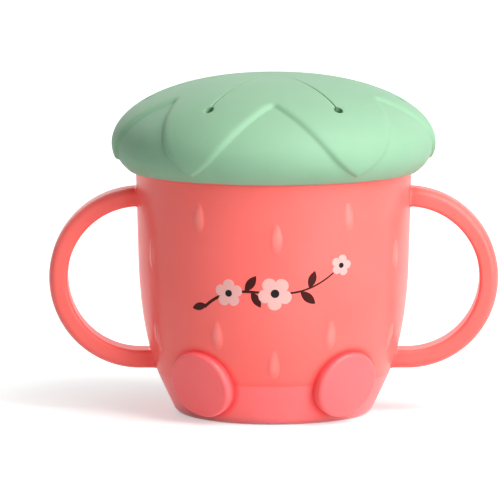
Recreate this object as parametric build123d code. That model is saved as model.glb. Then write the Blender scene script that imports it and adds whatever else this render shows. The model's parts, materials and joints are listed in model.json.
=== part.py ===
"""Toddler snack cup: a tapered two-handled cup with round feet and a leaf lid with push-in flaps.

Millimetres, +Z up. The origin is on the floor under the middle of the cup, the handles lie
along X and the feet face -Y. The lid is a soft skin whose middle is slit into six flaps.
"""
from build123d import *

import math
import os

# Cup wall, from the rim down. Radii are outside ones.
rim_radius = 43.1
rim_height = 84.8
wall = 2.0
upper_draft = 1.0  # how much the wall narrows from the rim to the belly
belly_height = 48.4  # where the straight upper wall starts to curve in
base_inset = 13.0  # how much the foot of the wall is narrower than the rim
cone_angle = 25.5  # lean of the wall beside the feet, from upright
cone_height = 10.1  # where that lean ends and the curve starts
heel_round = 3.5  # rounding under the cup
rim_round = 0.7

# Cup floor, carried above a hollow base
floor_height = 10.3
floor_thickness = 2.5
floor_round = 4.0
recess_radius = 26.5  # at the floor that the cup stands on
recess_draft = 1.0

# Loop handles
handle_radius = 25.4  # to the middle of the strap
handle_thickness = 6.0
handle_width = 12.0
handle_edge = 1.6
handle_centre_inset = 1.5  # loop centre, inside the rim radius
handle_centre_height = 42.4

# Round feet on the front
foot_radius = 10.9
foot_proud = 2.2
foot_root = 5.0  # length that runs in behind the wall before it is trimmed
foot_edge = 1.6
foot_azimuth = 37.2  # from straight ahead
foot_height = 12.8
foot_tilt = 17.0  # the face looks this much downwards

# Soft lid
skin = 2.2
lid_overhang = 7.3  # brim beyond the rim
brim_rise = -0.4  # widest line of the lid, from the rim's height
dome_height = 21.3  # from the widest line to the crown
crown_radius = 4.0  # flat middle
curl_drop = 5.2  # widest line down to the corner of the curl
curl_inset = 0.2
lip_drop = 9.0  # rim's height down to the lip
lip_width = 1.4
lip_inner_height = 2.3
seat_clearance = 0.3  # lid to cup, everywhere
web_thickness = 2.2
plug_thickness = 2.0
plug_depth = 8.0

# Slits, the round holes that end them, and the flaps between them
flap_count = 6
keyhole_reach = 39.5  # centre of a hole, from the cup's axis
keyhole_radius = 1.5
slit_gap = 1.4
root_gap = 0.9
hinge_drop = 7.7  # crown down to the hinge line

# Places that follow from the sizes above
belly_radius = rim_radius - upper_draft
base_radius = rim_radius - base_inset
cone_lean = math.tan(math.radians(cone_angle))
cone_radius = base_radius + cone_height * cone_lean
upper_lean = upper_draft / (rim_height - belly_height)
bend_height = (belly_radius - base_radius - upper_lean * belly_height) / (cone_lean - upper_lean)
bend_radius = base_radius + bend_height * cone_lean
handle_x = rim_radius - handle_centre_inset

lid_radius = rim_radius + lid_overhang
brim_height = rim_height + brim_rise
crown_height = brim_height + dome_height
lip_radius = rim_radius + seat_clearance
lip_height = rim_height - lip_drop
curl_height = brim_height - curl_drop
web_height = rim_height + seat_clearance
plug_radius = rim_radius - wall - upper_lean * plug_depth - seat_clearance
plug_height = rim_height - plug_depth
hinge_height = crown_height - hinge_drop
flap_angle = 360 / flap_count
hinge_reach = keyhole_reach * math.cos(math.radians(flap_angle / 2))
slit_cut_height = (web_height + web_thickness + hinge_height) / 2


def spun(*edges):
    """Solid made by turning a closed outline, drawn as radius and height, about the cup's axis."""
    outline = make_face(Curve() + list(edges))
    return revolve(Plane.XZ * outline, Axis.Z)


def ring(inner, outer, low, high):
    """Upright ring with a rectangular section."""
    height = high - low
    return Pos(0, 0, (low + high) / 2) * (Cylinder(outer, height) - Cylinder(inner, height))


def filled_cup(inset):
    """The cup's outside, moved in by inset and filled."""
    rim = (rim_radius - inset, rim_height)
    belly = (belly_radius - inset, belly_height)
    bend = (bend_radius - inset, bend_height)
    cone = (cone_radius - inset, cone_height)
    base = (base_radius - inset, 0)
    return spun(
        Line(rim, belly),
        Bezier(belly, bend, cone),
        Line(cone, base),
        Line(base, (0, 0)),
        Line((0, 0), (0, rim_height)),
        Line((0, rim_height), rim),
    )


def cup_outside():
    """Filled outside of the cup with its rounded heel."""
    solid = filled_cup(0)
    heel = solid.edges().group_by(Axis.Z)[0]
    return fillet(heel, heel_round)


def cup_body():
    """The cup: wall, raised floor and hollow base."""
    floor_top = floor_height + floor_thickness
    tool_depth = floor_top + wall
    floor_tool = Pos(0, 0, floor_top - tool_depth / 2) * Cylinder(rim_radius, tool_depth)
    cavity = filled_cup(wall) - floor_tool
    cavity = fillet(cavity.edges().group_by(Axis.Z)[0], floor_round)
    recess = spun(
        Line((0, 0), (recess_radius, 0)),
        Line((recess_radius, 0), (recess_radius - recess_draft, floor_height)),
        Line((recess_radius - recess_draft, floor_height), (0, floor_height)),
        Line((0, floor_height), (0, 0)),
    )
    recess = fillet(recess.edges().group_by(Axis.Z)[-1], floor_thickness)
    cup = cup_outside() - cavity - recess
    return fillet(cup.edges().group_by(Axis.Z)[-1], rim_round)


def handle_right():
    """Loop handle on +X: half a ring and a level leg, ended on the cup's outside."""
    section = RectangleRounded(handle_thickness, handle_width, handle_edge)
    top_height = handle_centre_height + handle_radius
    leg_height = handle_centre_height - handle_radius
    top = Plane(origin=(handle_x, 0, top_height), x_dir=(0, 0, 1), z_dir=(1, 0, 0))
    bottom = Plane(origin=(handle_x, 0, leg_height), x_dir=(0, 0, 1), z_dir=(-1, 0, 0))
    centre = Axis((handle_x, 0, handle_centre_height), (0, 1, 0))
    loop = revolve(top * section, centre, 180)
    leg = extrude(bottom * section, amount=handle_x - base_radius)
    return loop + leg - cup_outside()


def foot_right():
    """Round foot on the front right: a thick disc with a rounded face, ended on the cup."""
    length = foot_proud + foot_root
    disc = Pos(0, 0, foot_proud - length / 2) * Cylinder(foot_radius, length)
    disc = fillet(disc.edges().sort_by(Axis.Z)[-1], foot_edge)
    turn = math.radians(foot_azimuth)
    tilt = math.radians(foot_tilt)
    ahead = Vector(math.sin(turn), -math.cos(turn), 0)
    reach = base_radius + foot_height * cone_lean
    centre = ahead * reach + Vector(0, 0, foot_height)
    axis = ahead * math.cos(tilt) - Vector(0, 0, math.sin(tilt))
    return Plane(origin=centre, z_dir=axis) * disc - cup_outside()


def lid_skin():
    """The lid's dome and the skirt that curls in under it, without slits."""
    dome_reach = lid_radius - crown_radius
    brim = (lid_radius, brim_height)
    brim_inside = (lid_radius - skin, brim_height)
    lip = (lip_radius, lip_height)
    lip_outside = (lip_radius + lip_width, lip_height)
    lip_inside = (lip_radius, lip_height + lip_inner_height)
    bend = (lid_radius - curl_inset, curl_height)
    bend_inside = (lid_radius - curl_inset - skin, curl_height + skin / 2)
    middle = (crown_radius, brim_height)
    under_crown = crown_height - skin
    return spun(
        Line((0, crown_height), (crown_radius, crown_height)),
        EllipticalCenterArc(middle, dome_reach, dome_height, 0, arc_size=90),
        Bezier(brim, bend, lip_outside),
        Line(lip_outside, lip),
        Line(lip, lip_inside),
        Bezier(lip_inside, bend_inside, brim_inside),
        EllipticalCenterArc(middle, dome_reach - skin, dome_height - skin, 0, arc_size=90),
        Line((crown_radius, under_crown), (0, under_crown)),
        Line((0, under_crown), (0, crown_height)),
    )


def keyholes():
    """Round holes at the outer ends of the slits."""
    height = crown_height - slit_cut_height
    drill = Pos(keyhole_reach, 0, slit_cut_height + height / 2) * Cylinder(keyhole_radius, height)
    return [Rot(0, 0, flap_angle * i) * drill for i in range(flap_count)]


def lid_cover():
    """The lid without its flaps: dome edge, skirt, web on the cup's rim, and plug inside it."""
    web_top = web_height + web_thickness
    plug_inner = plug_radius - plug_thickness
    web = ring(plug_inner, lid_radius - skin / 2, web_height, web_top)
    plug = ring(plug_inner, plug_radius, plug_height, web_top)
    opening = extrude(
        Pos(0, 0, slit_cut_height) * RegularPolygon(keyhole_reach, flap_count),
        amount=crown_height,
    )
    return lid_skin() + web + plug - opening - keyholes()


def lid_flap(turn):
    """One flap, its middle turned from +X: a sector of the dome between two slits."""
    half = math.radians(flap_angle / 2)
    tip = slit_gap / 2 / math.sin(half)
    root = hinge_reach - root_gap
    half_width = (root - tip) * math.tan(half)
    plan = make_face(Polyline((tip, 0), (root, half_width), (root, -half_width), close=True))
    sector = extrude(Pos(0, 0, slit_cut_height) * plan, amount=crown_height)
    below = Pos(0, 0, hinge_height - crown_height / 2) * Cylinder(lid_radius, crown_height)
    holes = [Rot(0, 0, flap_angle / 2) * hole for hole in keyholes()]
    flap = (lid_skin() & sector) - below - holes
    return Rot(0, 0, turn) * flap


flap_turns = {
    "lid_flap_front": -90,
    "lid_flap_front_right": -30,
    "lid_flap_back_right": 30,
    "lid_flap_back": 90,
    "lid_flap_back_left": 150,
    "lid_flap_front_left": 210,
}

nodes = {
    "cup_body": cup_body(),
    "handle_right": handle_right(),
    "handle_left": mirror(handle_right(), Plane.YZ),
    "foot_right": foot_right(),
    "foot_left": mirror(foot_right(), Plane.YZ),
    "lid_cover": lid_cover(),
}
nodes.update({name: lid_flap(turn) for name, turn in flap_turns.items()})

os.makedirs("parts", exist_ok=True)
for name, shape in nodes.items():
    export_step(shape, f"parts/{name}.step")
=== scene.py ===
"""Looks of a toddler snack cup with a leaf lid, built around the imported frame.

Shapes are worked out in millimetres, in the frame's own axes: +Z up from the floor, +X to the
right handle, -Y to the front. Azimuths are degrees from the front, positive to the right.
"""
from __future__ import annotations

import json
import logging
import math
from dataclasses import dataclass, field
from enum import Enum

import bpy
import numpy as np
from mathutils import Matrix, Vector

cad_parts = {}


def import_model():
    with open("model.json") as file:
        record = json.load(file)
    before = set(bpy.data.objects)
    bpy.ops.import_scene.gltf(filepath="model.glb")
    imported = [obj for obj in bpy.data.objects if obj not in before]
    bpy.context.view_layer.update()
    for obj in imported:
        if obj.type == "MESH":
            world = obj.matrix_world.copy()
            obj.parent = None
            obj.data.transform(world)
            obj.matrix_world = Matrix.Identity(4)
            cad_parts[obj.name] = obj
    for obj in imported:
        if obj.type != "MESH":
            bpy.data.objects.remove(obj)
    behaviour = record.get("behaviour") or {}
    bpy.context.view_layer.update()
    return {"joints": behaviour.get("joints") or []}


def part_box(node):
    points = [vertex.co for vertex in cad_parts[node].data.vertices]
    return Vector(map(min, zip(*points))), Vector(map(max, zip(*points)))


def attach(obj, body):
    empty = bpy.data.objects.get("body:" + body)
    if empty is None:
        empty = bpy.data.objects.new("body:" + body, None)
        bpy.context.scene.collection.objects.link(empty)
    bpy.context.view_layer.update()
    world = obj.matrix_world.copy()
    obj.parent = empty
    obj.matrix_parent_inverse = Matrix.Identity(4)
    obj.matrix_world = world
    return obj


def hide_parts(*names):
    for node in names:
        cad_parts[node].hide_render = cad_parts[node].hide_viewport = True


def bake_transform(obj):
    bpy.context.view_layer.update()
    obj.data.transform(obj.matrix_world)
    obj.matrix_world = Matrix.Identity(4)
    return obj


LOG = logging.getLogger("snack_cup")
MM = 0.001
TURN = 2 * math.pi
SHARP_ANGLE = math.radians(46)
SEED_MARK = "seed"
# mark for the share of the painted glow on the cup's wall, fading out at the heel
PAINTED_GLOW_MARK = "thin"
# mark for painted crease shade, near the roots of feet and handles
CREASE_SHADE_MARK = "root"
BLACK = (0.0, 0.0, 0.0, 1.0)
WHITE = (1.0, 1.0, 1.0, 1.0)
SIDES = {1: "right", -1: "left"}

Array = np.ndarray
Pair = tuple[float, float]
Triple = tuple[float, float, float]
Tone = tuple[int, int, int]
Colour = tuple[float, float, float, float]
Material = bpy.types.Material
Node = bpy.types.Node
Object = bpy.types.Object
Socket = bpy.types.NodeSocket
Tree = bpy.types.NodeTree
Value = Socket | Colour | Triple | float


# ---------------------------------------------------------------- outlines


def line(start: Pair, end: Pair, steps: int) -> Array:
    """Points from start towards end, evenly spaced, with end left out.

    Args:
        start: first point.
        end: point that the run goes to.
        steps: how many points.

    Returns:
        Array of steps points: start + (end - start) k / steps.
    """
    share = np.arange(steps)[:, None] / steps
    return np.array(start) * (1 - share) + np.array(end) * share


def bezier(start: Pair, pull: Pair, end: Pair, steps: int) -> Array:
    """Quadratic curve (1-q)^2 start + 2q(1-q) pull + q^2 end, with end left out.

    Args:
        start: first point.
        pull: point that the curve bends towards.
        end: point that the curve goes to.
        steps: how many points.

    Returns:
        Array of steps points.
    """
    q = np.arange(steps)[:, None] / steps
    return (1 - q) ** 2 * np.array(start) + 2 * q * (1 - q) * np.array(pull) + q**2 * np.array(end)


def corner(before: Pair, at: Pair, after: Pair, radius: float, steps: int) -> Array:
    """Arc that rounds the corner before-at-after and touches both of its sides.

    Args:
        before: a point on the side that comes in.
        at: the sharp corner.
        after: a point on the side that goes out.
        radius: radius of the arc.
        steps: how many points, both ends counted.

    Returns:
        Array of steps points, from the incoming side to the outgoing one.
    """
    point = np.array(at, float)
    back = np.array(before, float) - point
    ahead = np.array(after, float) - point
    back /= np.linalg.norm(back)
    ahead /= np.linalg.norm(ahead)
    half = math.acos(float(np.clip(back @ ahead, -1, 1))) / 2
    middle = (back + ahead) / np.linalg.norm(back + ahead)
    centre = point + middle * radius / math.sin(half)
    first = point + back * radius / math.tan(half) - centre
    last = point + ahead * radius / math.tan(half) - centre
    start = math.atan2(first[1], first[0])
    sweep = (math.atan2(last[1], last[0]) - start + math.pi) % TURN - math.pi
    angle = start + sweep * np.linspace(0, 1, steps)
    return centre + polar(radius, angle)


def polar(reach: Array | float, angle: Array) -> Array:
    """Points of a plane at a reach from its origin: (reach cos a, reach sin a)."""
    return np.stack([reach * np.cos(angle), reach * np.sin(angle)], -1)


def rotated(across: Array, ahead: Array, azimuth: float) -> Array:
    """Turns plan points about the axis.

    Args:
        across: how far each point is to the right.
        ahead: how far each point is away from the axis.
        azimuth: radians to turn by, clockwise.

    Returns:
        The points: (across cos a + ahead sin a, ahead cos a - across sin a).
    """
    x = across * math.cos(azimuth) + ahead * math.sin(azimuth)
    y = ahead * math.cos(azimuth) - across * math.sin(azimuth)
    return np.stack([x, y], -1)


def left_of(path: Array) -> Array:
    """Unit normals of a path, to the left of the way that it runs.

    Args:
        path: points along it.

    Returns:
        For each point (-dy, dx), made one long.
    """
    slope = np.gradient(path, axis=0)
    normal = np.stack([-slope[:, 1], slope[:, 0]], -1)
    return normal / np.linalg.norm(normal, axis=1)[:, None]


def nearness(distance: Array, fade: float) -> Array:
    """1 where the distance is 0 or less, falling away from it as exp(-(distance / fade)^2)."""
    return np.exp(-((np.clip(distance, 0, None) / fade) ** 2))


def smooth(share: Array) -> Array:
    """Smooth step from 0 to 1: 3q^2 - 2q^3, held flat outside."""
    q = np.clip(share, 0, 1)
    return q * q * (3 - 2 * q)


# ------------------------------------------------------------------ meshes


class Ends(Enum):
    """How a tube of rings is closed at its first and last ring."""

    FAN = "a point in the middle of each end ring"
    STRIP = "faces across each end ring, as on a flat slab"
    LOOP = "the last ring is joined to the first"


def ring_faces(rows: int, columns: int, ends: Ends) -> tuple[Array, Array]:
    """Faces between the rings of a tube and over its ends.

    Args:
        rows: how many rings.
        columns: points in a ring, which is closed.
        ends: how the tube ends.

    Returns:
        Quads between the rings, and the faces of the ends, if it has any.
    """
    row = np.arange(rows if ends is Ends.LOOP else rows - 1)[:, None]
    column = np.arange(columns)
    beside = (column + 1) % columns
    low = row * columns
    high = (row + 1) % rows * columns
    quads = np.stack([low + column, low + beside, high + beside, high + column], -1).reshape(-1, 4)
    top = (rows - 1) * columns
    if ends is Ends.FAN:
        centre = np.full(columns, rows * columns)
        closing = [[beside, column, centre], [top + column, top + beside, centre + 1]]
    elif ends is Ends.STRIP:
        near = np.arange(columns // 2 - 1)
        far = columns - 1 - near
        closing = [[near + 1, near, far, far - 1], [top + near, top + near + 1, top + far - 1, top + far]]
    else:
        return quads, quads[:0]
    return quads, np.moveaxis(np.array(closing), 2, 0).reshape(-1, len(closing[0]))


def enclosed(points: Array, parts: tuple[Array, ...]) -> float:
    """Signed volume of a closed mesh: the sum of a . (b x c) / 6 over its triangles.

    Args:
        points: the mesh's points.
        parts: its faces, in arrays of faces with as many corners.

    Returns:
        The volume, below zero where the faces point inwards.
    """
    fans = [faces[:, [0, k, k + 1]] for faces in parts for k in range(1, faces.shape[1] - 1)]
    a, b, c = np.moveaxis(points[np.concatenate(fans)], 1, 0)
    return float(np.einsum("ij,ij->", a, np.cross(b, c)) / 6)


def linked(name: str, data: bpy.types.ID) -> Object:
    """Adds an object to the scene.

    Args:
        name: the object's name.
        data: its mesh, lamp or camera.

    Returns:
        The new object, at the origin.
    """
    thing = bpy.data.objects.new(name, data)
    bpy.context.scene.collection.objects.link(thing)
    return thing


def shell(name: str, grid: Array, ends: Ends, marks: dict[str, Array] | None = None) -> Object:
    """Closed smooth mesh from rings of points, with its faces outwards.

    Args:
        name: the piece's name.
        grid: points in millimetres, rings x points in a ring x 3.
        ends: how the tube of rings is closed.
        marks: float attributes by name, one value for each grid point.

    Returns:
        The new object, at the origin.
    """
    rows, columns = grid.shape[:2]
    parts = ring_faces(rows, columns, ends)
    points = grid.reshape(-1, 3)
    if ends is Ends.FAN:
        points = np.vstack([points, grid[0].mean(0), grid[-1].mean(0)])
    if enclosed(points, parts) < 0:
        parts = tuple(faces[:, ::-1] for faces in parts)
    faces = [face for part in parts for face in part.tolist()]
    mesh = bpy.data.meshes.new(name)
    mesh.from_pydata((points * MM).tolist(), [], faces)
    mesh.polygons.foreach_set("use_smooth", np.ones(len(faces), bool))
    for mark, values in (marks or {}).items():
        attribute = mesh.attributes.new(mark, "FLOAT", "POINT")
        padded = np.zeros(len(points), np.float32)
        padded[: rows * columns] = values.reshape(-1)
        attribute.data.foreach_set("value", padded)
    mesh.update()
    mesh.set_sharp_from_angle(angle=SHARP_ANGLE)
    return linked(name, mesh)


def turned(profile: Array, angles: Array) -> Array:
    """Rings of a profile turned about Z: (r cos a, r sin a, z).

    Args:
        profile: radius and height of each ring.
        angles: angle of each column, in radians from +X.

    Returns:
        Grid of points, rings x columns x 3.
    """
    radius = profile[:, :1]
    height = np.broadcast_to(profile[:, 1:], (len(profile), len(angles)))
    return np.stack([radius * np.cos(angles), radius * np.sin(angles), height], -1)


def even_angles(columns: int) -> Array:
    """Angles of so many columns, evenly round a turn."""
    return np.arange(columns) / columns * TURN


# --------------------------------------------------------------- materials


def linear(red: int, green: int, blue: int) -> Colour:
    """A display colour as the linear colour that a shader takes, by the usual sRGB curve.

    Args:
        red: 0 to 255.
        green: 0 to 255.
        blue: 0 to 255.

    Returns:
        Its red, green, blue and alpha, from 0 to 1.
    """
    shares = [v / 255 for v in (red, green, blue)]
    parts = [s / 12.92 if s <= 0.04045 else ((s + 0.055) / 1.055) ** 2.4 for s in shares]
    return parts[0], parts[1], parts[2], 1.0


def wire(tree: Tree, node: Node, inputs: dict[str | int, Value]) -> Node:
    """Sets or links inputs of a node.

    Args:
        tree: where the node is.
        node: the node.
        inputs: what goes in, by the input's name or number: a number or colour, or a socket.

    Returns:
        The same node.
    """
    for key, value in inputs.items():
        if isinstance(value, Socket):
            tree.links.new(value, node.inputs[key])
        else:
            node.inputs[key].default_value = value
    return node


def added(tree: Tree, kind: str, inputs: dict[str | int, Value], **options: str | Tree) -> Node:
    """Adds a shader node.

    Args:
        tree: where it goes.
        kind: Blender's name of its kind, without ShaderNode.
        inputs: what goes in, as wire takes it.
        options: its other settings, by name.

    Returns:
        The new node.
    """
    node = tree.nodes.new("ShaderNode" + kind)
    for name, option in options.items():
        setattr(node, name, option)
    return wire(tree, node, inputs)


def math_node(tree: Tree, operation: str, first: Socket | float, second: Socket | float) -> Socket:
    """Result of a Math node on two sockets or numbers."""
    return added(tree, "Math", {0: first, 1: second}, operation=operation).outputs["Value"]


def tinted(tree: Tree, factor: Socket, low: Socket | Colour, high: Socket | Colour) -> Socket:
    """Mix of two colours, the node's inputs 6 and 7: factor 0 gives low and 1 gives high."""
    return added(tree, "Mix", {0: factor, 6: low, 7: high}, data_type="RGBA").outputs[2]


def ramp(tree: Tree, value: Socket, low: float, high: float) -> Socket:
    """Smooth step of a value, 0 at low and 1 at high."""
    inputs = {"Value": value, "From Min": low, "From Max": high}
    return added(tree, "MapRange", inputs, interpolation_type="SMOOTHSTEP").outputs["Result"]


def mark_of(tree: Tree, name: str) -> Socket:
    """Value of one of the mesh's marks at a point; 0 on a mesh that has no such mark."""
    return added(tree, "Attribute", {}, attribute_name=name).outputs["Fac"]


def object_place(tree: Tree) -> Socket:
    """Place of a point in its own object's coordinates, in metres."""
    return added(tree, "TexCoord", {}).outputs["Object"]


def seen_rays(tree: Tree) -> Socket:
    """Tells the rays that show a surface as a background from those that light by it.

    Args:
        tree: where the nodes go.

    Returns:
        1 for camera, glossy and transmission rays, 0 for the others.
    """
    rays = added(tree, "LightPath", {}).outputs
    shown = math_node(tree, "MAXIMUM", rays["Is Camera Ray"], rays["Is Glossy Ray"])
    return math_node(tree, "MAXIMUM", shown, rays["Is Transmission Ray"])


class Group(Enum):
    """Shader groups that several finishes share."""

    MOTTLE = "Mottle"
    GRAIN = "Grain"


class ShaderGroups:
    """Builds each shared group once and places it in materials."""

    def __init__(self) -> None:
        """Starts with no group built."""
        self.built: dict[Group, Tree] = {}

    def place(self, tree: Tree, which: Group, **values: float) -> Socket:
        """Adds a group to a material, with its Position input joined to object coordinates.

        Args:
            tree: the material's nodes.
            which: the group.
            values: the inputs that are set, by name.

        Returns:
            The group's output.
        """
        if which not in self.built:
            self.built[which] = self._mottle() if which is Group.MOTTLE else self._grain()
        inputs = {**values, "Position": object_place(tree)}
        return added(tree, "Group", inputs, node_tree=self.built[which]).outputs[0]

    def _started(self, which: Group, values: dict[str, float]) -> tuple[Tree, dict[str, Socket]]:
        """Starts a group with a Position input and its number inputs.

        Args:
            which: the group.
            values: usual values of its number inputs, by name.

        Returns:
            The group, and its inputs by name.
        """
        tree = bpy.data.node_groups.new(which.value, "ShaderNodeTree")
        tree.interface.new_socket("Position", in_out="INPUT", socket_type="NodeSocketVector")
        for name, value in values.items():
            socket = tree.interface.new_socket(name, in_out="INPUT", socket_type="NodeSocketFloat")
            socket.default_value = value
        inputs = tree.nodes.new("NodeGroupInput").outputs
        return tree, {socket.name: socket for socket in inputs}

    def _ended(self, tree: Tree, name: str, total: Socket) -> Tree:
        """Gives a group its one output.

        Args:
            tree: the group.
            name: the output's name.
            total: what it puts out.

        Returns:
            The group.
        """
        tree.interface.new_socket(name, in_out="OUTPUT", socket_type="NodeSocketFloat")
        wire(tree, tree.nodes.new("NodeGroupOutput"), {name: total})
        return tree

    def _noise(self, tree: Tree, place: Socket, scale: Socket, detail: float) -> Socket:
        """Noise at a place, with so many finer layers as detail says."""
        return added(tree, "TexNoise", {"Vector": place, "Scale": scale, "Detail": detail}).outputs["Fac"]

    def _mottle(self) -> Tree:
        """Slow drift of tone: noise around zero times Amount, added to one.

        Returns:
            The group.
        """
        tree, sockets = self._started(Group.MOTTLE, {"Scale": 40.0, "Amount": 0.05})
        noise = self._noise(tree, sockets["Position"], sockets["Scale"], detail=3.0)
        centred = math_node(tree, "SUBTRACT", noise, 0.5)
        spread = math_node(tree, "MULTIPLY", centred, sockets["Amount"])
        return self._ended(tree, "Factor", math_node(tree, "ADD", spread, 1.0))

    def _grain(self) -> Tree:
        """Height of a moulded skin: fine noise plus a share of a coarser ripple.

        Returns:
            The group.
        """
        tree, sockets = self._started(Group.GRAIN, {"Fine": 2500.0, "Coarse": 250.0, "Ripple": 0.5})
        fine = self._noise(tree, sockets["Position"], sockets["Fine"], detail=2.0)
        coarse = self._noise(tree, sockets["Position"], sockets["Coarse"], detail=1.0)
        share = math_node(tree, "MULTIPLY", coarse, sockets["Ripple"])
        return self._ended(tree, "Height", math_node(tree, "ADD", fine, share))


@dataclass(frozen=True)
class Moulding:
    """Finish of a moulded part: one tone with drift, a fine skin and some light under the surface.

    It also carries a faint, even painted glow: an emission that stands in for light let through a thin wall
    and lifts the red in shade.
    """

    name: str
    tone: Tone
    deep_tone: Tone
    roughness: float
    groups: ShaderGroups
    under: float = 0.0
    under_reach: Triple = (1.0, 0.3, 0.2)
    under_scale: float = 0.003
    sheen: float = 0.0
    specular: float = 0.5
    # painted glow: an even emission colour and strength that stand in for light let through the wall
    painted_glow_tone: Tone = (0, 0, 0)
    through: float = 0.0
    grain_height: float = 0.00002
    grain_fine: float = 2500.0
    grain_coarse: float = 250.0
    ripple: float = 0.5
    drift_scale: float = 45.0
    drift_swing: float = 2.0
    drift_range: Pair = (0.4, 1.6)
    wear_scale: float = 160.0
    wear: float = 0.06

    def made(self) -> Material:
        """Builds the material.

        Returns:
            The material.
        """
        material = bpy.data.materials.new(self.name)
        material.use_nodes = True
        tree = material.node_tree
        place = self.groups.place
        mottle = place(tree, Group.MOTTLE, Scale=self.drift_scale, Amount=self.drift_swing)
        drift = ramp(tree, mottle, *self.drift_range)
        colour = tinted(tree, drift, linear(*self.deep_tone), linear(*self.tone))
        wear = place(tree, Group.MOTTLE, Scale=self.wear_scale, Amount=self.wear)
        rough = math_node(tree, "MULTIPLY", wear, self.roughness)
        grain = place(tree, Group.GRAIN, Fine=self.grain_fine, Coarse=self.grain_coarse, Ripple=self.ripple)
        bump = added(tree, "Bump", {"Distance": self.grain_height, "Height": grain})
        wire(tree, tree.nodes["Principled BSDF"], {
            "Base Color": self.marked(tree, colour),
            "Roughness": self.polished(tree, rough),
            "Normal": bump.outputs["Normal"],
            "Subsurface Weight": self.under,
            "Subsurface Radius": self.under_reach,
            "Subsurface Scale": self.under_scale,
            "Sheen Weight": self.sheen,
            "Specular IOR Level": self.specular,
            # painted glow: emission that stands in for light let through the wall
            "Emission Color": self.painted_glow_colour(tree),
            "Emission Strength": self.through,
        })
        return material

    def marked(self, tree: Tree, colour: Socket) -> Socket:
        """Colour of the surface after its marks; a plain moulding has none."""
        return colour

    def polished(self, tree: Tree, rough: Socket) -> Socket:
        """Roughness after its polished spots; a plain moulding has none."""
        return rough

    def painted_glow_colour(self, tree: Tree) -> Socket | Colour:
        """Colour of the painted glow, the same all over a plain moulding."""
        return linear(*self.painted_glow_tone)


@dataclass(frozen=True)
class CoralMoulding(Moulding):
    """Coral plastic with painted crease shade: a deeper tone at the roots, where handles and feet leave the
    wall.
    """

    # painted crease shade at the roots of handles and feet
    crease_shade_tone: Tone = (226, 52, 56)
    crease_shade_share: float = 0.8

    def marked(self, tree: Tree, colour: Socket) -> Socket:
        """Lays the painted crease shade of the roots over the colour."""
        share = math_node(tree, "MULTIPLY", mark_of(tree, CREASE_SHADE_MARK), self.crease_shade_share)
        return tinted(tree, share, colour, linear(*self.crease_shade_tone))


@dataclass(frozen=True)
class CupMoulding(CoralMoulding):
    """The cup's own finish: paler seeds, and a painted shade line and paler band where the raised floor
    would show through the wall.
    """

    seed_tone: Tone = (255, 141, 134)
    seed_shine: float = 0.5
    band_tone: Tone = (255, 125, 126)
    line_tone: Tone = (250, 103, 98)
    floor_height: float = 12.8
    floor_edge: float = 0.25
    line_height: float = 3.4
    line_share: float = 0.75

    def marked(self, tree: Tree, colour: Socket) -> Socket:
        """Lays the painted shade line above the floor's height, the paler band under it and the seeds over
        the tone.

        Args:
            tree: the material's nodes.
            colour: the tone so far.

        Returns:
            The colour with its marks.
        """
        height = added(tree, "SeparateXYZ", {"Vector": object_place(tree)}).outputs["Z"]
        level = self.floor_height * MM
        edge = self.floor_edge * MM
        below = ramp(tree, height, level + edge, level - edge)
        above = ramp(tree, height, level - edge, level + edge)
        # painted shade: a darker line just above the floor's height, fading upwards
        fading = ramp(tree, height, level + self.line_height * MM, level)
        shade = math_node(tree, "MULTIPLY", math_node(tree, "MULTIPLY", fading, fading), above)
        shade = math_node(tree, "MULTIPLY", shade, self.line_share)
        # paler band below the floor's height: painted light seen through the wall under the floor
        toned = tinted(tree, below, colour, linear(*self.band_tone))
        toned = tinted(tree, shade, toned, linear(*self.line_tone))
        # painted crease shade at the roots
        toned = super().marked(tree, toned)
        return tinted(tree, mark_of(tree, SEED_MARK), toned, linear(*self.seed_tone))

    def polished(self, tree: Tree, rough: Socket) -> Socket:
        """Makes the seeds glossier: roughness times 1 - seed_shine seed."""
        gloss = math_node(tree, "MULTIPLY", mark_of(tree, SEED_MARK), self.seed_shine)
        return math_node(tree, "MULTIPLY", rough, math_node(tree, "SUBTRACT", 1.0, gloss))

    def painted_glow_colour(self, tree: Tree) -> Socket | Colour:
        """Puts the painted glow on the outer wall only, fading out at the heel, and none inside."""
        return tinted(tree, mark_of(tree, PAINTED_GLOW_MARK), BLACK, linear(*self.painted_glow_tone))


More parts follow.
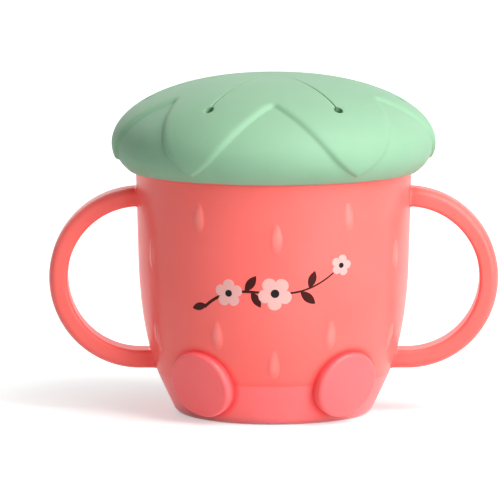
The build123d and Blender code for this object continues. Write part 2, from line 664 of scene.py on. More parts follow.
@dataclass
class Finishes:
    """Every material of the cup, made once."""

    groups: ShaderGroups = field(default_factory=ShaderGroups)

    def __post_init__(self) -> None:
        """Makes the materials."""
        coral = {
            "tone": (255, 122, 115),
            "deep_tone": (252, 115, 108),
            "roughness": 0.34,
            "groups": self.groups,
            "under": 0.3,
            "under_reach": (1.0, 0.3, 0.22),
            "under_scale": 0.002,
            "sheen": 0.06,
            "specular": 0.36,
            # painted glow in red, which lifts the shaded side of the coral
            "painted_glow_tone": (255, 26, 22),
            "through": 0.16,
            "grain_height": 0.000012,
            "grain_fine": 1400.0,
            "grain_coarse": 120.0,
            "ripple": 1.2,
        }
        self.cup = CupMoulding("coral_cup", **coral).made()
        self.coral = CoralMoulding("coral_moulding", **coral).made()
        foot_coral = coral | {"tone": (255, 124, 127), "deep_tone": (252, 117, 120)}
        self.foot_coral = CoralMoulding("coral_foot", **foot_coral).made()
        self.silicone = Moulding(
            "mint_silicone",
            tone=(156, 200, 165),
            deep_tone=(150, 194, 159),
            roughness=0.62,
            groups=self.groups,
            under=0.25,
            under_reach=(0.7, 1.0, 0.75),
            under_scale=0.0015,
            sheen=0.08,
            specular=0.27,
            grain_height=0.00003,
            grain_fine=2600.0,
            grain_coarse=380.0,
        ).made()
        self.print_pale = self._ink("pale_print", (253, 192, 187), (249, 180, 175), 0.34)
        self.print_dark = self._ink("dark_print", (34, 24, 30), (28, 19, 25), 0.14)
        self.print_brown = self._ink("brown_print", (74, 20, 15), (62, 16, 12), 0.14)

    def _ink(self, name: str, tone: Tone, deep: Tone, specular: float) -> Material:
        """A printed ink on the wall's fine skin.

        Args:
            name: the material's name.
            tone: its lighter tone.
            deep: its deeper tone.
            specular: how strongly it shines.

        Returns:
            The material.
        """
        skin = {"grain_height": 0.00001, "grain_fine": 1400.0, "grain_coarse": 120.0}
        shine = {"roughness": 0.4, "specular": specular}
        return Moulding(name, tone, deep, groups=self.groups, **shine, **skin).made()


def dressed(piece: Object, material: Material) -> Object:
    """Gives a piece its material.

    Args:
        piece: the piece.
        material: its finish.

    Returns:
        The same piece.
    """
    piece.data.materials.clear()
    piece.data.materials.append(material)
    return piece


# --------------------------------------------------------------------- cup


@dataclass
class Cup:
    """Tapered cup with seeds on its wall, two loop handles and two round feet."""

    rim_radius: float = 43.1
    wall: float = 2.0
    upper_draft: float = 1.0
    belly_height: float = 48.4
    base_radius: float = 30.1
    cone_angle: float = 25.5
    cone_height: float = 10.1
    heel_round: float = 3.5
    rim_round: float = 0.7
    floor_top: float = 12.8
    floor_under: float = 10.3
    floor_round: float = 4.0
    recess_radius: float = 26.5
    recess_draft: float = 1.0
    recess_round: float = 2.5
    recess_edge_round: float = 0.4
    columns: int = 384
    side_steps: tuple[int, int, int] = (80, 84, 16)
    slope_run: float = 8.0
    inner_wall_every: int = 5
    inner_wall_gap: float = 0.8
    outer_wall_gap: float = 0.4
    floor_middle: float = 1.5
    roof_middle: float = 1.0
    roof_inset: float = 5.0

    seed_width: float = 3.5
    seed_length: float = 8.9
    seed_proud: float = 0.45
    seed_taper: float = 0.22
    seed_fullness: float = 0.75
    seed_places: tuple[Pair, ...] = (
        (32.5, 65.2), (-32.5, 65.2), (1.0, 59.3), (62.5, 52.0), (-62.5, 52.0),
        (25.5, 28.8), (-25.5, 28.8), (64.0, 25.8), (-64.0, 25.8), (0.0, 19.8),
    )
    seed_crowding: float = 5.0
    crowding_reach: float = 3.0

    handle_radius: float = 25.4
    handle_thickness: float = 5.8
    handle_width: float = 12.0
    handle_edge: float = 1.15
    handle_outer_edge: float = 3.2
    handle_outer_squash: float = 0.7
    handle_centre_x: float = 41.6
    handle_centre_height: float = 42.4
    handle_root_turn: float = 82.0

    foot_radius: float = 10.75
    foot_proud: float = 2.0
    foot_edge: float = 1.2
    foot_crown: float = 0.7
    foot_flare: float = 0.08
    foot_flare_end: float = 1.3
    foot_face_start: float = 0.06
    foot_back_end: float = 0.08
    foot_reach_back: float = 16.0
    foot_halvings: int = 26
    foot_azimuth: float = 37.2
    foot_height: float = 12.8
    foot_tilt: float = 17.0

    root_depth: float = 1.0
    root_flare: float = 0.35
    root_reach: float = 0.9
    # reach and share of the painted crease shade at the roots
    foot_root_fade: float = 1.3
    handle_root_fade: float = 4.0
    handle_root_share: float = 0.3
    # how the painted glow fades out towards the heel
    heel_fade: float = 6.0
    heel_lead: float = 1.0

    def __post_init__(self) -> None:
        """Works out the wall's curve and reads the rim's height from the frame."""
        self.rim_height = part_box("cup_body")[1].z / MM
        lean = math.tan(math.radians(self.cone_angle))
        belly_radius = self.rim_radius - self.upper_draft
        upper_lean = self.upper_draft / (self.rim_height - self.belly_height)
        upper_foot = belly_radius - self.base_radius - upper_lean * self.belly_height
        bend_height = upper_foot / (lean - upper_lean)
        self.belly = (belly_radius, self.belly_height)
        self.bend = (self.base_radius + bend_height * lean, bend_height)
        self.cone = (self.base_radius + self.cone_height * lean, self.cone_height)
        self.rim = (self.rim_radius, self.rim_height)
        self.base = (self.base_radius, 0.0)

    def outer_curve(self, inset: float) -> Array:
        """The wall's side from rim to base: a line, a quadratic curve and a line.

        Args:
            inset: how far it is moved in.

        Returns:
            Radius and height of its points.
        """
        upper, bend, cone = self.side_steps
        parts = [
            line(self.rim, self.belly, upper),
            bezier(self.belly, self.bend, self.cone, bend),
            line(self.cone, self.base, cone),
            [self.base],
        ]
        return np.concatenate(parts) - np.array([inset, 0.0])

    def wall_radius(self, height: Array, inset: float = 0.0) -> Array:
        """Outside radius of the wall at a height, less inset."""
        side = self.outer_curve(inset)[::-1]
        return np.interp(height, side[:, 1], side[:, 0])

    def seed_height(self, azimuth: Array, height: Array) -> Array:
        """How far the seeds raise the wall, from 0 to 1.

        Each seed is a dome on a drop that is widest below its middle: with across and up from
        its centre as shares of its half sizes, and across divided by 1 - taper up, it is
        (1 - across^2 - up^2)^fullness.

        Args:
            azimuth: degrees from the front.
            height: millimetres above the floor.

        Returns:
            Share of the full height at each point.
        """
        total = np.zeros(np.broadcast(azimuth, height).shape)
        for front, level in self.seed_places:
            for place in (front, front + 180.0):
                away = (azimuth - place + 180.0) % 360.0 - 180.0
                across = np.radians(away) * self.wall_radius(height) / (self.seed_width / 2)
                up = (height - level) / (self.seed_length / 2)
                inside = 1 - (across / (1 - self.seed_taper * np.clip(up, -1, 1))) ** 2 - up**2
                total = np.maximum(total, np.clip(inside, 0, 1) ** self.seed_fullness)
        return total

    def crowded_angles(self) -> Array:
        """Angles of the shell's columns, closer together where the seeds are.

        The density is 1 + crowding exp(-(away / reach)^4) round each seed, and the columns are
        even steps of its running sum.

        Returns:
            Angles in radians from +X, rising through one turn.
        """
        fine = np.linspace(0, 360, num=7201)
        density = np.ones_like(fine)
        for azimuth in {front + half for front, _ in self.seed_places for half in (0.0, 180.0)}:
            away = (fine - azimuth + 180.0) % 360.0 - 180.0
            crowd = self.seed_crowding * np.exp(-((away / self.crowding_reach) ** 4))
            density = np.maximum(density, 1 + crowd)
        total = np.concatenate([[0.0], np.cumsum((density[1:] + density[:-1]) / 2)])
        steps = np.arange(self.columns) / self.columns * total[-1]
        return np.radians(np.interp(steps, total, fine) - 90.0)

    def shell_profile(self) -> tuple[Array, slice]:
        """Outline of the cup from the middle of its floor, over the rim, to the middle of the recess.

        Returns:
            Radius and height of each ring, and which rings are the outer wall.
        """
        side = self.outer_curve(0.0)
        inner = self.outer_curve(self.wall)
        floor_radius = float(self.wall_radius(np.array(self.floor_top), self.wall))
        floor_corner = (floor_radius, self.floor_top)
        slope = (self.cone[0] - self.wall, self.cone[1] + self.slope_run)
        bottom = corner((0, self.floor_top), floor_corner, slope, self.floor_round, steps=9)
        under_rim = self.rim_height - 2 * self.rim_round
        inner_wall = inner[inner[:, 1] > bottom[-1, 1] + self.inner_wall_gap][::-1]
        inner_wall = inner_wall[inner_wall[:, 1] < under_rim]
        inner_rim = (self.rim_radius - self.wall, self.rim_height)
        heel = corner(self.cone, self.base, (0, 0), self.heel_round, steps=9)
        outer = side[(side[:, 1] < under_rim) & (side[:, 1] > heel[0, 1] + self.outer_wall_gap)]
        recess_edge = (self.recess_radius, 0)
        roof = (self.recess_radius - self.recess_draft, self.floor_under)
        before = [
            line((self.floor_middle, self.floor_top), (bottom[0, 0], self.floor_top), steps=10),
            bottom,
            inner_wall[:: self.inner_wall_every],
            corner((inner_rim[0], 0), inner_rim, self.rim, self.rim_round, steps=6),
            corner(inner_rim, self.rim, self.belly, self.rim_round, steps=6),
        ]
        after = [
            heel,
            corner(self.base, recess_edge, roof, self.recess_edge_round, steps=4),
            corner(recess_edge, roof, (0, self.floor_under), self.recess_round, steps=7),
            line((self.recess_radius - self.roof_inset, roof[1]), (self.roof_middle, roof[1]), steps=5),
        ]
        start = sum(map(len, before))
        return np.concatenate([*before, outer, *after]), slice(start, start + len(outer))

    def build_shell(self) -> Object:
        """The cup's shell, with the seeds raised along the wall's outward normal.

        Returns:
            The new object.
        """
        profile, wall_rows = self.shell_profile()
        angles = self.crowded_angles()
        grid = turned(profile, angles)
        rows = profile[wall_rows]
        azimuth = (np.degrees(angles) + 90.0)[None, :]
        raised = self.seed_height(azimuth, rows[:, 1:])
        normal = left_of(rows)
        lift = raised * self.seed_proud
        grid[wall_rows, :, 0] += lift * normal[:, :1] * np.cos(angles)
        grid[wall_rows, :, 1] += lift * normal[:, :1] * np.sin(angles)
        grid[wall_rows, :, 2] += lift * normal[:, 1:]
        seeds, thin, roots = np.zeros((3,) + grid.shape[:2])
        seeds[wall_rows] = raised
        # share of the painted glow, fading out at the heel
        thin[wall_rows] = smooth((rows[:, 1:] + self.heel_lead) / self.heel_fade)
        # painted crease shade near the roots of feet and handles
        roots[wall_rows] = self.crease_shade_nearness(grid[wall_rows])
        return shell("cup_shell", grid, Ends.FAN, {SEED_MARK: seeds, PAINTED_GLOW_MARK: thin, CREASE_SHADE_MARK: roots})

    def crease_shade_nearness(self, points: Array) -> Array:
        """Mask of the painted crease shade: how near points of the wall are to a foot or a handle's root,
        exp(-(distance / fade)^2).

        Args:
            points: points on the wall.

        Returns:
            1 at a root, falling to 0 away from it.
        """
        beside = np.stack([np.abs(points[..., 0]), points[..., 1], points[..., 2]], -1)
        centre, axis, _, _ = self.foot_frame(1)
        away = beside - centre
        along = away @ axis
        from_foot = np.linalg.norm(away - along[..., None] * axis, axis=-1) - self.foot_radius
        nearest = nearness(from_foot, self.foot_root_fade)
        for sign in (1, -1):
            root_height = self.handle_centre_height + sign * self.handle_radius
            past_edge = np.abs(points[..., 2] - root_height) - self.handle_thickness / 2
            past_side = np.abs(points[..., 1]) - self.handle_width / 2
            reach = np.hypot(np.clip(past_edge, 0, None), np.clip(past_side, 0, None))
            nearest = np.maximum(nearest, nearness(reach, self.foot_root_fade))
        return nearest

    def handle_section(self) -> tuple[Array, Array]:
        """Rounded rectangle of the strap: out from the loop's centre, and along Y.

        Its outer corners are quarter ellipses, handle_outer_squash as deep as they are wide.

        Returns:
            Points round the section, and the outward direction at each of them.
        """
        half_out = self.handle_thickness / 2
        half_deep = self.handle_width / 2
        corners = [(half_out * x, half_deep * y) for x, y in ((1, -1), (1, 1), (-1, 1), (-1, -1))]
        arcs = []
        for i, at in enumerate(corners):
            radius = self.handle_outer_edge if at[0] > 0 else self.handle_edge
            arcs.append(corner(corners[i - 1], at, corners[(i + 1) % 4], radius, steps=8))
            if at[0] > 0:
                arcs[-1][:, 0] = half_out - (half_out - arcs[-1][:, 0]) * self.handle_outer_squash
        parts = []
        for arc, after in zip(arcs, arcs[1:] + arcs[:1]):
            parts += [arc, line(tuple(arc[-1]), tuple(after[0]), steps=6)[1:]]
        points = np.concatenate(parts)
        along = np.roll(points, -1, 0) - np.roll(points, 1, 0)
        outward = np.stack([along[:, 1], -along[:, 0]], -1)
        return points, outward / np.linalg.norm(outward, axis=1)[:, None]

    def build_handle(self, side: int) -> Object:
        """A loop handle: the section carried down a half circle and back along a level leg.

        Both ends follow the wall at root_depth inside its surface. Nearer the wall than
        root_reach the section's skin moves out by root_flare (1 - clear / root_reach)^2, as a
        moulded fillet does.

        Args:
            side: 1 for the right handle, -1 for the left one.

        Returns:
            The new object.
        """
        section, outward = self.handle_section()
        near_root = np.linspace(90, self.handle_root_turn, num=21)
        round_loop = np.linspace(self.handle_root_turn, -90, num=91)[1:]
        half_turn = np.radians(np.concatenate([near_root, round_loop]))
        leg_height = self.handle_centre_height - self.handle_radius
        leg_end = float(self.wall_radius(np.array(leg_height))) - self.root_depth
        leg_x = np.linspace(self.handle_centre_x, leg_end, num=26)[1:]
        path_x = np.concatenate([self.handle_centre_x + self.handle_radius * np.cos(half_turn), leg_x])
        path_z = self.handle_centre_height + self.handle_radius * np.sin(half_turn)
        path_z = np.concatenate([path_z, np.full(len(leg_x), leg_height)])
        normal_x = np.concatenate([np.cos(half_turn), np.zeros(len(leg_x))])[:, None]
        normal_z = np.concatenate([np.sin(half_turn), -np.ones(len(leg_x))])[:, None]
        x = path_x[:, None] + normal_x * section[:, 0]
        z = path_z[:, None] + normal_z * section[:, 0]
        y = section[:, 1] + 0 * x
        clear = np.hypot(x, y) - self.wall_radius(z)
        flare = self.root_flare * np.clip(1 - clear / self.root_reach, 0, 1) ** 2
        x = x + flare * normal_x * outward[:, 0]
        z = z + flare * normal_z * outward[:, 0]
        y = y + flare * outward[:, 1]
        seat = np.sqrt((self.wall_radius(z) - self.root_depth) ** 2 - y**2)
        inside = (x < seat) & (path_x < self.handle_centre_x + self.handle_thickness)[:, None]
        inside[[0, -1]] = True
        grid = np.stack([np.where(inside, seat, x) * side, y, z], -1)
        # painted crease shade where the strap meets the wall
        roots = self.handle_root_share * nearness(clear, self.handle_root_fade)
        return shell("loop_handle_" + SIDES[side], grid, Ends.FAN, {CREASE_SHADE_MARK: roots})

    def foot_frame(self, side: int) -> tuple[Array, Array, Array, Array]:
        """Where a foot sits.

        Args:
            side: 1 for the right foot, -1 for the left one.

        Returns:
            Its centre on the wall, its axis outwards, and its two spoke directions.
        """
        azimuth = math.radians(self.foot_azimuth)
        tilt = math.radians(self.foot_tilt)
        ahead = np.array([side * math.sin(azimuth), -math.cos(azimuth), 0.0])
        up = np.array([0.0, 0.0, 1.0])
        axis = ahead * math.cos(tilt) - up * math.sin(tilt)
        across = np.cross(up, ahead)
        reach = self.base_radius + self.foot_height * math.tan(math.radians(self.cone_angle))
        return ahead * reach + up * self.foot_height, axis, across, np.cross(axis, across)

    def back_to_wall(self, start: Array, axis: Array) -> Array:
        """Distance back along a foot's axis to root_depth inside the wall, found by halving.

        Args:
            start: points that the distance is measured from.
            axis: the foot's axis, outwards.

        Returns:
            The distance of each point.
        """
        low = np.zeros(start.shape[:-1])
        high = np.full(start.shape[:-1], self.foot_reach_back)
        for _ in range(self.foot_halvings):
            middle = (low + high) / 2
            point = start - axis * middle[..., None]
            seat = self.wall_radius(point[..., 2], self.root_depth)
            outside = np.hypot(point[..., 0], point[..., 1]) > seat
            low = np.where(outside, middle, low)
            high = np.where(outside, high, middle)
        return low

    def build_foot(self, side: int) -> Object:
        """A round foot: a disc with a slightly crowned face whose back follows the wall.

        The face is crown (1 - q^2) high at share q of its flat, the edge is a quarter circle,
        and each point of the side runs back along the foot's axis until it is root_depth
        inside the wall.

        Args:
            side: 1 for the right foot, -1 for the left one.

        Returns:
            The new object.
        """
        centre, axis, across, upright = self.foot_frame(side)
        flat = self.foot_radius - self.foot_edge
        share = np.linspace(self.foot_face_start, 1, num=16)
        face = np.stack([flat * share, self.foot_proud + self.foot_crown * (1 - share**2)], -1)
        angle = np.radians(np.linspace(0, 90, num=13))[1:]
        fall = self.foot_proud - self.foot_edge * (1 - np.cos(angle))
        edge = np.stack([flat + self.foot_edge * np.sin(angle), fall], -1)
        rim = np.concatenate([face, edge])
        turn = even_angles(columns=128)
        spoke = np.cos(turn)[:, None] * across + np.sin(turn)[:, None] * upright
        front = centre + rim[:, :1, None] * spoke + rim[:, 1:, None] * axis
        last = front[-1]
        length = self.back_to_wall(last, axis)
        run = np.linspace(0, 1, num=15)[1:, None] * length
        left = length - run - self.root_depth
        flare = self.foot_flare * np.clip(1 - left / self.root_reach, 0, self.foot_flare_end) ** 2
        side_rows = last - run[..., None] * axis + flare[..., None] * spoke
        shrink = np.linspace(1, self.foot_back_end, num=8)[1:, None, None]
        flat_back = centre + (self.foot_radius + self.foot_flare) * shrink * spoke + self.foot_proud * axis
        back = flat_back - self.back_to_wall(flat_back, axis)[..., None] * axis
        grid = np.concatenate([front, side_rows, back])
        # painted crease shade where the foot meets the wall
        from_wall = self.back_to_wall(front, axis) - self.root_depth
        clear = np.concatenate([from_wall, left, np.zeros(back.shape[:2])])
        roots = nearness(clear, self.foot_root_fade)
        return shell("round_foot_" + SIDES[side], grid, Ends.FAN, {CREASE_SHADE_MARK: roots})

    def build(self, finishes: Finishes) -> list[Object]:
        """Builds, dresses and seats the cup's pieces.

        Args:
            finishes: the materials.

        Returns:
            The new objects.
        """
        body = dressed(self.build_shell(), finishes.cup)
        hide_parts("cup_body")
        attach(body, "cup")
        made = [body]
        for side, word in SIDES.items():
            handle = dressed(self.build_handle(side), finishes.coral)
            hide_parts("handle_" + word)
            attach(handle, "cup")
            foot = dressed(self.build_foot(side), finishes.foot_coral)
            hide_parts("foot_" + word)
            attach(foot, "cup")
            made += [handle, foot]
        return made


# ------------------------------------------------------------------- print


@dataclass(frozen=True)
class Growth:
    """Something that grows from the printed stem, at a share of its run."""

    share: float
    size: float
    turn: float


@dataclass
class Sprig:
    """A printed flowering sprig on the front of the wall, as thin inked shapes."""

    cup: Cup
    proud: float = 0.05
    sunk: float = 0.25
    print_radius: float = 41.0
    stem_pulls: tuple[Pair, ...] = ((-22.0, 37.5), (-7.5, 50.5), (2.5, 33.5), (21.0, 50.5))
    stem_width: float = 0.95
    stem_tip_width: float = 0.45
    blossoms: tuple[Growth, ...] = (Growth(0.2, 4.3, 0.3), Growth(0.56, 5.2, 0.9), Growth(1.0, 3.3, 0.1))
    petal_count: int = 5
    petal_base: float = 0.62
    petal_power: float = 0.55
    heart_share: float = 0.25
    leaves: tuple[Growth, ...] = (
        Growth(0.02, 5.4, 2.7), Growth(0.33, 6.0, 0.95), Growth(0.38, 5.6, -1.0),
        Growth(0.74, 6.2, -0.95), Growth(0.8, 5.6, 0.9),
    )
    leaf_width: float = 0.44
    leaf_lift: float = 0.01
    blossom_lift: float = 0.02
    heart_lift: float = 0.045
    face_shares: Pair = (0.08, 0.97)
    back_shares: Pair = (0.9, 0.1)
    face_rings: int = 9
    line_shares: tuple[float, ...] = (-0.5, -0.44, -0.2, 0.2, 0.44, 0.5, 0.5, 0.0, -0.5)

    def on_wall(self, across: Array, height: Array, proud: Array | float) -> Array:
        """Places flat drawing points on the wall.

        Args:
            across: millimetres to the right of the front, along the wall.
            height: millimetres above the floor.
            proud: how far outside the wall.

        Returns:
            Points, with across / print_radius as the angle from the front.
        """
        reach = self.cup.wall_radius(height) + proud
        angle = across / self.print_radius
        return np.stack([reach * np.sin(angle), -reach * np.cos(angle), height + 0 * across], -1)

    def patch(self, name: str, outline: Array, centre: Array, lift: float) -> Object:
        """A closed inked patch filled from its middle.

        Args:
            name: the piece's name.
            outline: the edge, as offsets from the middle.
            centre: middle of the patch, across and height.
            lift: extra height, for ink over ink.

        Returns:
            The new object.
        """
        face = np.linspace(*self.face_shares, num=self.face_rings)
        shares = np.concatenate([face, [1.0, 1.0], np.linspace(*self.back_shares, num=4)])
        levels = np.full(len(shares), self.proud + lift)
        levels[self.face_rings] = lift + self.proud / 2
        levels[self.face_rings + 1 :] = -self.sunk
        across = centre[0] + shares[:, None] * outline[:, 0]
        height = centre[1] + shares[:, None] * outline[:, 1]
        return shell(name, self.on_wall(across, height, levels[:, None]), Ends.FAN)

    def blossom_edge(self, radius: float, turn: float) -> Array:
        """Edge of a flower, at radius (base + (1 - base) |cos(count a / 2)|^power).

        Args:
            radius: from its middle to a petal's tip.
            turn: radians that a petal is turned by.

        Returns:
            Points round the edge.
        """
        angle = even_angles(columns=200)
        wave = np.abs(np.cos(self.petal_count / 2 * (angle - turn))) ** self.petal_power
        return polar(radius * (self.petal_base + (1 - self.petal_base) * wave), angle)

    def disc_edge(self, radius: float) -> Array:
        """Edge of a disc."""
        return polar(radius, even_angles(columns=40))

    def leaf_edge(self, length: float, turn: float) -> Array:
        """Edge of a pointed leaf: half width (1 - x^2) at share x of its half length, then turned.

        Args:
            length: from tip to tip.
            turn: radians from level, anticlockwise.

        Returns:
            Points round the edge.
        """
        angle = even_angles(columns=60)
        along = np.cos(angle) * length / 2
        beside = np.sign(np.sin(angle)) * np.sin(angle) ** 2 * self.leaf_width * length / 2
        return rotated(along, beside, -turn)

    def stem_at(self, share: Array) -> Array:
        """The stem's middle, on the cubic curve of its four pulls.

        Args:
            share: shares of its run.

        Returns:
            Across and height at each share.
        """
        q = np.atleast_1d(share)
        weights = np.stack([(1 - q) ** 3, 3 * q * (1 - q) ** 2, 3 * q**2 * (1 - q), q**3], -1)
        return weights @ np.array(self.stem_pulls)

    def stem_heading(self, share: float) -> float:
        """Direction of the stem.

        Args:
            share: share of its run.

        Returns:
            Radians from level.
        """
        step = 0.01
        ahead = self.stem_at(share + step)[0] - self.stem_at(share - step)[0]
        return math.atan2(ahead[1], ahead[0])

    def ribbon(self, name: str, middle: Array, width: Array) -> Object:
        """A closed inked line along a path, its width tapering to the ends.

        Args:
            name: the piece's name.
            middle: points along the line.
            width: full width at each point.

        Returns:
            The new object.
        """
        share = np.array(self.line_shares)
        level = np.array([self.proud / 2] + [self.proud] * 4 + [self.proud / 2] + [-self.sunk] * 3)
        away = left_of(middle)[:, None, :] * share[None, :, None] * width[:, None, None]
        points = middle[:, None, :] + away
        return shell(name, self.on_wall(points[..., 0], points[..., 1], level[None, :]), Ends.FAN)

    def build(self, finishes: Finishes) -> list[Object]:
        """Builds the printed pieces and lets them ride on the cup.

        Args:
            finishes: the materials.

        Returns:
            The new objects.
        """
        q = np.linspace(0, 1, num=90)
        stem_width = self.stem_width + (self.stem_tip_width - self.stem_width) * q
        made = [(self.ribbon("print_stem", self.stem_at(q), stem_width), finishes.print_brown)]
        for i, leaf in enumerate(self.leaves):
            turn = self.stem_heading(leaf.share) + leaf.turn
            outward = np.array([math.cos(turn), math.sin(turn)])
            middle = self.stem_at(leaf.share)[0] + outward * leaf.size / 2
            edge = self.leaf_edge(leaf.size, turn)
            blade = self.patch(f"print_leaf_{i + 1}", edge, middle, self.leaf_lift)
            made.append((blade, finishes.print_brown))
        for i, flower in enumerate(self.blossoms):
            middle = self.stem_at(flower.share)[0]
            edge = self.blossom_edge(flower.size, flower.turn)
            petals = self.patch(f"print_blossom_{i + 1}", edge, middle, self.blossom_lift)
            disc = self.disc_edge(flower.size * self.heart_share)
            heart = self.patch(f"print_heart_{i + 1}", disc, middle, self.heart_lift)
            made += [(petals, finishes.print_pale), (heart, finishes.print_dark)]
        for piece, material in made:
            dressed(piece, material)
            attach(piece, "cup")
        return [piece for piece, _ in made]


# --------------------------------------------------------------------- lid


@dataclass
class LeafLid:
    """Soft lid: a dome with six raised leaves, its curled skirt, web and plug, and six flaps."""

    rim_height: float
    hinges: list[dict]
    crown_radius: float = 4.0
    dome_rise: float = 21.3
    skin: float = 2.2
    curl_pull: float = 5.8
    curl_drop: float = 9.3
    curl_inset: float = 5.0
    lip_radius: float = 43.4
    lip_height: float = 76.0
    lip_round: float = 0.5
    lip_run: float = 9.0
    lip_tuck: Pair = (0.35, 0.1)
    lip_rise: float = 2.3
    curl_hollow: Pair = (0.2, 4.6)
    web_thickness: float = 2.2
    seat_clearance: float = 0.3
    plug_radius: float = 40.58
    plug_thickness: float = 2.0
    plug_depth: float = 8.0
    plug_round: float = 0.6
    web_reach: float = 47.2
    web_inset: float = 1.0
    web_round: float = 0.5
    row_gaps: tuple[float, float, float] = (0.6, 0.7, 1.2)
    blend_rows: int = 27
    plain_rows: int = 72
    under_every: int = 3

    leaf_count: int = 6
    notch_turns: tuple[float, ...] = (0.0, 64.0, 122.5, 180.0, 244.0, 302.1)
    leaf_start: float = 34.3
    notch_spreads: tuple[float, ...] = (0.635, 0.635, 0.635, 0.635, 0.78, 0.53)
    leaf_power: float = 1.07
    tip_start: float = 24.0
    tip_flare: float = 0.022
    leaf_slant: float = 0.77
    leaf_proud: float = 1.1
    leaf_ramp: float = 3.2
    leaf_shift: float = 0.68
    leaf_steep: float = 1.3
    leaf_end: float = 1.3
    leaf_foot: float = 0.2
    notch_round: float = 0.6
    notch_fade: float = 2.8

    hole_radius: float = 1.5
    slit_at_crown: float = 0.03
    slit_at_hole: float = 0.23
    slit_power: float = 1.3
    slit_rounding: Pair = (0.2, 0.55)
    edge_drop: float = 0.16
    edge_reach: float = 0.55

    circle_radius: float = 43.6
    chord_columns: int = 76
    hole_columns: int = 26
    hole_share: float = 8.0
    hole_sweep: float = 120.0
    flap_rows: int = 74
    flap_row_power: float = 1.25
    flap_tip_gap: float = 0.06
    flap_edge_places: tuple[float, ...] = (0.0, 0.1, 0.22, 0.38, 0.6)
    flap_edge_width: float = 1.4
    flap_columns: int = 31
    bend_reach: float = 6.0

    def __post_init__(self) -> None:
        """Reads the brim, the crown and the hinge lines from the frame and lays out the meridian."""
        self.brim_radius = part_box("lid_cover")[1].x / MM
        self.crown_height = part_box("lid_flap_front")[1].z / MM
        self.brim_height = self.crown_height - self.dome_rise
        self.half_angle = math.pi / self.leaf_count
        self.places = {hinge["child"]: np.array(hinge["pos_m"][:2]) / MM for hinge in self.hinges}
        self.hinge_reach = float(np.mean([np.hypot(*place) for place in self.places.values()]))
        self.hole_reach = self.hinge_reach / math.cos(self.half_angle)
        self.half_side = self.hinge_reach * math.tan(self.half_angle)
        quarter = np.linspace(0, math.pi / 2, num=900)
        reach = self.brim_radius - self.crown_radius
        dome_radius = self.crown_radius + reach * np.sin(quarter)
        dome = np.stack([dome_radius, self.brim_height + self.dome_rise * np.cos(quarter)], -1)
        brim = (self.brim_radius, self.brim_height)
        pull = (self.brim_radius, self.brim_height - self.curl_pull)
        tuck = (self.brim_radius - self.curl_inset, self.brim_height - self.curl_drop)
        curl = bezier(brim, pull, tuck, steps=300)[1:]
        self.meridian = np.concatenate([[(0.0, self.crown_height)], dome, curl, [tuck]])
        steps = np.linalg.norm(np.diff(self.meridian, axis=0), axis=1)
        self.arc = np.concatenate([[0.0], np.cumsum(steps)])
        self.normal = left_of(self.meridian)
        self.circle_arc = float(self.arc_of(np.array(self.circle_radius)))

    def arc_of(self, radius: Array) -> Array:
        """Distance along the dome from the crown to a radius inside the brim."""
        inside = self.arc <= self.arc_of_brim()
        return np.interp(radius, self.meridian[inside, 0], self.arc[inside])

    def arc_of_brim(self) -> float:
        """Distance along the dome from the crown to the brim."""
        return float(self.arc[int(np.argmax(self.meridian[:, 0]))])

    def radius_at(self, arc: Array) -> Array:
        """Radius of the raised level at a distance from the crown along it."""
        return np.interp(arc, self.arc, self.meridian[:, 0])

    def sunk_share(self, arc: Array, azimuth: Array) -> Array:
        """0 on a leaf and 1 between leaves.

        Each gap opens on both sides of its notch by its spread times beyond^leaf_power, where
        beyond is the distance past leaf_start, so that the leaves have almost straight sides, and
        past tip_start by tip_flare (beyond - tip_start)^2 more, which blunts their tips. A side is
        a ramp leaf_ramp wide, soft at the leaf and crisp at its foot: the lesser of 1 and
        leaf_steep share^4, rounded where the two meet within leaf_foot of each other.
        The notch is rounded by taking the distance from its middle as
        (lateral^2 + notch_round^2)^0.5, and it gains its depth over notch_fade.

        Args:
            arc: distance from the crown along the dome.
            azimuth: radians from the front.

        Returns:
            Share of the full step at each point.
        """
        turns = [math.radians(turn) for turn in self.notch_turns]
        away = np.stack([(azimuth - turn + math.pi) % TURN - math.pi for turn in turns])
        lateral = np.hypot(away * self.radius_at(arc), self.notch_round)
        beyond = arc - self.leaf_start
        spread = np.array(self.notch_spreads)[:, None, None]
        opening = spread * np.clip(beyond, 0, None) ** self.leaf_power
        opening = opening + self.tip_flare * np.clip(beyond - self.tip_start, 0, None) ** 2
        inside = (opening - lateral).max(0) * self.leaf_slant
        rise = self.leaf_steep * np.clip(inside / self.leaf_ramp + self.leaf_shift, 0, self.leaf_end) ** 4
        meeting = np.clip(1 - np.abs(rise - 1) / self.leaf_foot, 0, 1)
        side = np.minimum(rise, 1) - meeting**2 * self.leaf_foot / 4
        return side * smooth(beyond / self.notch_fade)

    def edge_fall(self, distance: Array) -> Array:
        """Rounding of a cut edge: edge_drop (1 - d / edge_reach)^2 within edge_reach of it."""
        return self.edge_drop * np.clip(1 - distance / self.edge_reach, 0, 1) ** 2

    def at(self, arc: Array, azimuth: Array, depth: Array | float) -> Array:
        """Points under the dome's raised level.

        Args:
            arc: distance from the crown along the dome.
            azimuth: radians from the front, positive to the right.
            depth: how far inside the raised level, along its normal.

        Returns:
            Points, with r and z from the meridian, moved in by depth.
        """
        radius, height = (
            np.interp(arc, self.arc, level) - depth * np.interp(arc, self.arc, outward)
            for level, outward in zip(self.meridian.T, self.normal.T)
        )
        return np.stack([radius * np.sin(azimuth), -radius * np.cos(azimuth), height + 0 * azimuth], -1)

